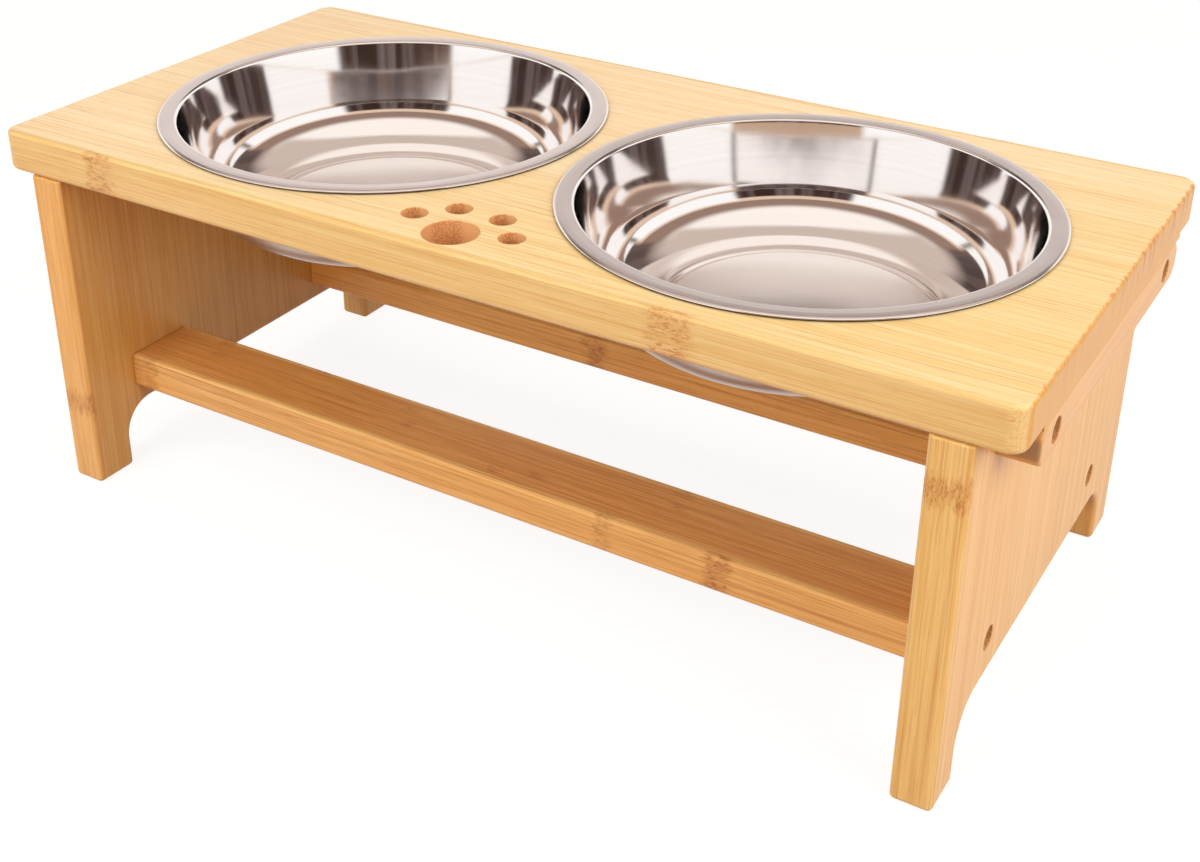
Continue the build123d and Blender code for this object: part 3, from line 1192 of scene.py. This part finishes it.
@dataclass
class EndPanels:
    """The two arched panels that carry the board.

    Attributes:
        hole_radius: Radius of the sunk bolt holes.
        left_knuckles: Heights of the nodes in the left panel's front and rear edges.
        right_knuckles: The same for the right panel.
        knuckle_length: How far those nodes reach along the grain.
        paling: How much greener and bluer than the middle the right panel's narrow faces are.
    """

    hole_radius: float = 5.4
    left_knuckles: Point = (46.0, 96.0)
    right_knuckles: Point = (147.0, 70.0)
    knuckle_length: float = 14.0
    paling: int = 7

    def build(self) -> None:
        """Gives both panels their finish."""
        rail_low, rail_high = millimetres("front_stretcher")
        hole_y = abs(rail_low.y + rail_high.y) / 2
        hole_z = (rail_low.z + rail_high.z) / 2
        bores = tuple(Bore("X", (sign * hole_y, hole_z), self.hole_radius) for sign in (-1, 1))
        heights = {Side.LEFT: self.left_knuckles, Side.RIGHT: self.right_knuckles}
        for side in Side:
            low, high = millimetres(f"{side.label}_panel")
            nodes = zip(heights[side], (low.y, high.y))
            shift = side.value * self.paling
            finish = Bamboo(
                name=f"bamboo_{side.label}_panel_lacquered",
                grain=Grain.UPRIGHT,
                pale=(242, 208, 139),
                deep=(229, 185, 109),
                streak=(204, 144, 80),
                curl=(182, 114, 56),
                seed=4.0 + side.value,
                flat_pale=(245, 213 + shift, 145 + shift),
                flat_deep=(233, 189 + shift, 113 + shift),
                narrow=(low.y, high.y),
                knuckles=tuple(Knuckle(z, y, self.knuckle_length) for z, y in nodes),
                bores=bores,
                strip_contrast=0.45,
                dashes=0.36,
                pores=0.2,
                node_share=0.05,
            )
            dress(f"{side.label}_panel", finish.build())


@dataclass
class Stretchers:
    """The two rails between the panels.

    Attributes:
        front_knuckle: Place of the node in the front rail's front face.
        rear_knuckle: Place of the node in the rear rail's front face.
        knuckle_length: How far those nodes reach along the grain.
        rear_bounce_tint: How much redder and less blue the rear rail is, part own tone, part painted bounce
            light.
    """

    front_knuckle: float = 122.0
    rear_knuckle: float = -23.0
    knuckle_length: float = 14.0
    rear_bounce_tint: int = 11

    def build(self) -> None:
        """Gives both stretchers their finish."""
        rails = (("front", self.front_knuckle, 0), ("rear", self.rear_knuckle, self.rear_bounce_tint))
        for name, knuckle, shift in rails:
            low, high = millimetres(f"{name}_stretcher")
            nodes = zip((knuckle, -knuckle), (low.y, high.y))
            finish = Bamboo(
                name=f"bamboo_{name}_rail_lacquered",
                grain=Grain.ALONG_BOARD,
                # painted shade: these wide-face colours are darker and more orange than the board's, for the
                # board's shadow on the rail tops
                pale=(234, 178, 108),
                deep=(210, 145, 77),
                streak=(178, 110, 54),
                curl=(146, 78, 32),
                seed=7.0 + knuckle / 100,
                # the rear rail's shift is partly its own warmer tone and partly painted warm bounce light in
                # the board's shade
                flat_pale=(244 + shift, 206, 140 - shift),
                flat_deep=(232 + shift, 182, 110 - shift),
                narrow=(low.y, high.y),
                ends=(low.x, high.x),
                knuckles=tuple(Knuckle(x, y, self.knuckle_length) for x, y in nodes),
                strip_contrast=0.45,
                node_share=0.4,
            )
            dress(f"{name}_stretcher", finish.build())


@dataclass
class Hardware:
    """Bolts, threaded inserts and dowels inside the joints."""

    def build(self) -> None:
        """Gives every hidden fastener its finish."""
        bolt = PlatedSteel("bolt_steel_plated", colour=(176, 176, 178), tarnish=(128, 126, 124)).build()
        insert = PlatedSteel("insert_zinc_plated", colour=(186, 184, 178), tarnish=(140, 136, 126)).build()
        dowel = DowelWood("dowel_beech_raw").build()
        for side in Side:
            for joint in ("cleat", "stretcher"):
                dress(f"{side.label}_{joint}_bolts", bolt)
                dress(f"{side.label}_{joint}_dowels", dowel)
            for mouth in ("panel", "stretcher"):
                dress(f"{side.label}_{mouth}_inserts", insert)


@dataclass(frozen=True)
class Softbox:
    """A square lamp behind diffusing cloth.

    Attributes:
        name: The lamp's name.
        azimuth: Where it stands, in degrees from the front towards the right end.
        elevation: How high it stands, in degrees.
        distance: Its distance from the stand's middle, in metres.
        size: Its width and height, in metres.
        power: Its power, in watts.
        colour: Colour of its light.
    """

    name: str
    azimuth: float
    elevation: float
    distance: float
    size: Point
    power: float
    colour: Colour = (255, 250, 244)

    def place(self, target: Vector) -> None:
        """Adds the lamp, turned to the stand.

        Args:
            target: The point that it faces.
        """
        turn, rise = radians(self.azimuth), radians(self.elevation)
        away = Vector((sin(turn) * cos(rise), -cos(turn) * cos(rise), sin(rise)))
        bpy.ops.object.light_add(type="AREA", location=target + away * self.distance)
        lamp = bpy.context.object
        lamp.name = self.name
        lamp.rotation_euler = away.to_track_quat("Z", "Y").to_euler()
        lamp.data.shape = "RECTANGLE"
        lamp.data.size, lamp.data.size_y = self.size
        lamp.data.energy = self.power
        lamp.data.color = linear(self.colour)[:3]
        lamp.visible_glossy = False


@dataclass(frozen=True)
class Room:
    """The studio's surroundings, told by direction from the stand.

    Angles to either side are in degrees from the camera's own direction, heights are sines of the
    angle over the horizon. Two heights together are where a change starts and where it is complete.

    Attributes:
        facing: Azimuth of the camera, in degrees.
        screen_start: Angle to the side where the two white screens start.
        screen_end: Angle where they end.
        screen_blur: How soft their upright edges are, in degrees.
        screen_top: Heights of their upper edge.
        wall_start: Heights where the room's walls begin.
        backdrop_start: Angle from which the backdrop is behind the stand.
        backdrop_blur: How soft its edge is, in degrees.
        backdrop_top: Heights of its upper edge.
        table_top: Heights of the table's edge.
        ledge_bottom: Height of the ledge's lower edge.
        ledge_top: Height of its upper edge.
        ledge_blur: How soft both are.
        cornice: Heights of the ceiling's edge on the camera's side.
        rear_cornice: The same on the other side.
        panel_width: Width of the aisle's panels, in degrees.
        panel_seed: Picks how bright each of them is.
        streak_scale: Streaks per degree in them.
        streak_levels: Levels of their noise between which they go from dark to light.
        ceiling_change: Where the ceiling's two colours meet, as a sine towards the camera.
        loft_gleam: How much of the wall's colour the lightest parts of the loft have.
        lit: Colour of the screens.
        backdrop: Colour of the backdrop.
        table: Colour of the table edge under the camera.
        aisle: Darkest colour of the unlit aisle between the screens.
        gleam: Lightest colour there.
        ledge: Colour of the pale ledge over the aisle.
        wall: Colour of the room's walls over the screens.
        loft: Colour of the dark space over the backdrop.
        ceiling_near: Colour of the ceiling on the camera's side.
        ceiling_far: Colour of the ceiling on the other side.
    """

    facing: float = 31.5
    screen_start: float = 33.0
    screen_end: float = 108.0
    screen_blur: float = 2.5
    screen_top: Point = (0.46, 0.49)
    wall_start: Point = (0.51, 0.54)
    backdrop_start: float = 112.0
    backdrop_blur: float = 4.0
    backdrop_top: Point = (0.41, 0.43)
    table_top: Point = (0.05, 0.07)
    ledge_bottom: float = 0.42
    ledge_top: float = 0.52
    ledge_blur: float = 0.015
    cornice: Point = (0.66, 0.78)
    rear_cornice: Point = (0.6, 0.75)
    panel_width: float = 11.0
    panel_seed: float = 3.0
    streak_scale: float = 0.2
    streak_levels: Point = (0.35, 0.65)
    ceiling_change: Point = (-0.1, 0.1)
    loft_gleam: float = 0.35
    lit: Colour = (255, 253, 251)
    backdrop: Colour = (255, 250, 246)
    table: Colour = (196, 164, 138)
    aisle: Colour = (58, 42, 36)
    gleam: Colour = (124, 108, 106)
    ledge: Colour = (228, 200, 176)
    wall: Colour = (152, 126, 112)
    loft: Colour = (74, 62, 62)
    ceiling_near: Colour = (255, 246, 238)
    ceiling_far: Colour = (206, 187, 176)

    def colour(self, graph: Graph) -> Tint:
        """Paints the surroundings.

        Args:
            graph: The world's graph.

        Returns:
            The colour in the direction that is looked in.
        """
        direction = graph.node("ShaderNodeTexCoord").outputs["Generated"]
        split = graph.node("ShaderNodeSeparateXYZ", {0: direction})
        x, y, height = (Level(graph, part) for part in split.outputs)
        turn = radians(self.facing)
        ahead = x * sin(turn) - y * cos(turn)
        aside = x * cos(turn) + y * sin(turn)
        angle = graph.math("ARCTAN2", aside, ahead) * degrees(1)
        off = abs(angle)

        panels = (angle / self.panel_width).floor().chance(self.panel_seed)
        streaks = graph.lines(angle, self.streak_scale, detail=3.0).rise(*self.streak_levels)
        screens = off.band(self.screen_start, self.screen_end, self.screen_blur)
        over_wall = height.rise(*self.cornice)
        near = graph.layered(
            self.aisle,
            (panels * streaks, self.gleam),
            (height.fall(*self.table_top), self.table),
            (height.band(self.ledge_bottom, self.ledge_top, self.ledge_blur), self.ledge),
            (height.rise(*self.wall_start), self.wall),
            (screens * height.fall(*self.screen_top), self.lit),
            (over_wall, self.ceiling_near),
            (over_wall * ahead.fall(*self.ceiling_change), self.ceiling_far),
        )
        dim = graph.blend(panels, self.loft, graph.blend(self.loft_gleam, self.loft, self.wall))
        far = graph.layered(
            self.backdrop,
            (height.rise(*self.backdrop_top), dim),
            (height.rise(*self.rear_cornice), self.ceiling_far),
        )
        behind = (off - self.backdrop_start).rise(-self.backdrop_blur, self.backdrop_blur)
        return graph.blend(behind, near, far)


@dataclass(frozen=True)
class PaleFloor(Finish):
    """A matt floor that looks white but for the stand's shadow, and is clear from below.

    Attributes:
        matt: Its colour to the camera and in reflections, under its own glow.
        bounce: The colour that it throws back up.
        glow: Strength of its glow near the stand and far from it.
        glow_reach: Distances between which the one passes into the other.
        glow_colour: Colour of the glow.
    """

    matt: Colour = (132, 132, 132)
    bounce: Colour = (176, 128, 88)
    glow: Point = (0.87, 1.0)
    glow_reach: Point = (700.0, 2200.0)
    glow_colour: Colour = (255, 255, 255)

    def paint(self, graph: Graph) -> None:
        """Adds the floor's colour and glow.

        Args:
            graph: The material's graph.
        """
        camera, mirrored = graph.rays()
        seen = mirrored.most(camera)
        matt = graph.node("ShaderNodeBsdfDiffuse", {"Color": graph.blend(seen, self.bounce, self.matt)})
        _, (x, y, _) = graph.place()
        strength = graph.length(x, y).rise(*self.glow_reach, *self.glow) * seen
        glow = graph.node("ShaderNodeEmission", {"Color": self.glow_colour, "Strength": strength})
        both = graph.node("ShaderNodeAddShader", {0: matt.outputs[0], 1: glow.outputs[0]})
        below = graph.node("ShaderNodeNewGeometry").outputs["Backfacing"]
        clear = graph.node("ShaderNodeBsdfTransparent")
        one_sided = {0: below, 1: both.outputs[0], 2: clear.outputs[0]}
        graph.show("ShaderNodeOutputMaterial", graph.node("ShaderNodeMixShader", one_sided))


@dataclass
class Studio:
    """Floor, lamps, surroundings and camera.

    Attributes:
        camera_place: Where the camera stands, in metres.
        camera_turn: Its rotation, in radians.
        sensor: Width of its sensor, in millimetres.
        lens: Its focal length, in millimetres.
        shift_y: How far the frame is shifted.
        softboxes: The lamps.
        floor: The floor's finish.
        floor_size: Width of the floor, in metres.
        floor_drop: How far the floor lies under the feet, in metres.
        room: The surroundings that the steel mirrors.
        room_light: Colour of the room's own dim light.
        blank: What the camera sees past the floor.
    """

    camera_place: Triple = (0.3736, -0.61013, 0.47177)
    camera_turn: Triple = (1.1127, -0.0073, 0.5411)
    sensor: float = 36.0
    lens: float = 49.75
    shift_y: float = -0.12
    softboxes: tuple[Softbox, ...] = (
        Softbox("softbox_front", azimuth=-16, elevation=32, distance=1.5, size=(1.05, 1.2), power=15.1),
        Softbox("softbox_right", azimuth=84, elevation=31, distance=1.5, size=(1.05, 1.2), power=16.0),
        Softbox("softbox_top", azimuth=200, elevation=70, distance=1.6, size=(0.9, 0.9), power=6),
    )
    floor: PaleFloor = PaleFloor("floor_pale")
    floor_size: float = 30.0
    floor_drop: float = 0.2 * MM
    room: Room = Room()
    room_light: Colour = (150, 120, 90)
    blank: Colour = (255, 255, 255)

    def build(self) -> None:
        """Builds the whole studio."""
        low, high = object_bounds()
        for softbox in self.softboxes:
            softbox.place((low + high) / 2)
        self._lay_floor()
        self._surround()
        self._place_camera()
        bpy.context.scene.view_settings.view_transform = "Standard"
        log.info("studio: %d lamps", len(self.softboxes))

    def _place_camera(self) -> None:
        """Places the camera."""
        bpy.ops.object.camera_add(location=self.camera_place, rotation=self.camera_turn)
        camera = bpy.context.object
        camera.name = "camera"
        camera.data.sensor_width = self.sensor
        camera.data.lens = self.lens
        camera.data.shift_y = self.shift_y
        bpy.context.scene.camera = camera

    def _lay_floor(self) -> None:
        """Lays the floor."""
        bpy.ops.object.select_all(action="DESELECT")
        bpy.ops.mesh.primitive_plane_add(size=self.floor_size, location=(0, 0, -self.floor_drop))
        floor = bpy.context.object
        floor.name = "floor"
        floor.data.materials.append(self.floor.build())
        floor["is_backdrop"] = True

    def _surround(self) -> None:
        """Makes the world: white to the camera, a studio to the steel, a dim room to all else."""
        world = bpy.data.worlds.new("studio_room")
        bpy.context.scene.world = world
        world.use_nodes = True
        graph = Graph(world.node_tree)
        camera, mirrored = graph.rays()
        colour = graph.blend(mirrored, self.room_light, self.room.colour(graph))
        colour = graph.blend(camera, colour, self.blank)
        graph.show("ShaderNodeOutputWorld", graph.node("ShaderNodeBackground", {"Color": colour}))


def main() -> None:
    """Builds the stand's looks, sub-assembly by sub-assembly, and the studio round it."""
    logging.basicConfig(level=logging.INFO, format="%(name)s: %(message)s")
    for part in (TopBoard(), Cleats(), EndPanels(), Stretchers(), Bowls(), Hardware(), Studio()):
        part.build()


if __name__ == "__main__":
    main()
